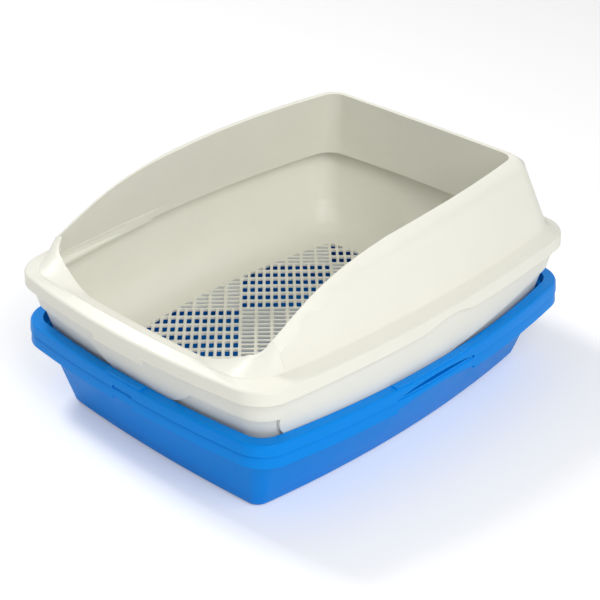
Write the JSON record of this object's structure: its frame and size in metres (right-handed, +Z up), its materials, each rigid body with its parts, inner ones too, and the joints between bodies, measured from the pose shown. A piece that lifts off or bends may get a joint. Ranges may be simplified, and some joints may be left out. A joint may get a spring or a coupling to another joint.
{
  "type": "sifting litter box",
  "caption": "Rectangular sifting litter box: nested litter pans, a slotted sifting pan that stands in them, and a high-walled frame with a low front entry.",
  "frame": {"origin": "on the floor, under the middle of the lower pan", "axes": "+Z up, +Y from the low entry to the tall back, +X to the right seen from the entry"},
  "size_m": [0.3906, 0.483, 0.2323],
  "materials": {
    "pan_plastic": "satin, high polish",
    "sifter_plastic": "satin, high polish",
    "frame_plastic": "satin, high polish"
  },
  "bodies": {
    "lower_pan_body": {"lower_pan": "pan_plastic"},
    "upper_pan_body": {"upper_pan": "pan_plastic"},
    "sifter_body": {"sifting_pan": "sifter_plastic", "sieve_floor": "sifter_plastic"},
    "frame_body": {"high_frame": "frame_plastic"}
  },
  "joints": [
    {"name": "upper_pan_lift", "type": "slide", "parent": "lower_pan_body", "child": "upper_pan_body", "axis": [0, 0, 1], "range_m": [0, 0.11]},
    {"name": "sifter_lift", "type": "slide", "parent": "upper_pan_body", "child": "sifter_body", "axis": [0, 0, 1], "range_m": [0, 0.12]},
    {"name": "frame_lift", "type": "slide", "parent": "sifter_body", "child": "frame_body", "axis": [0, 0, 1], "range_m": [0, 0.06]}
  ]
}
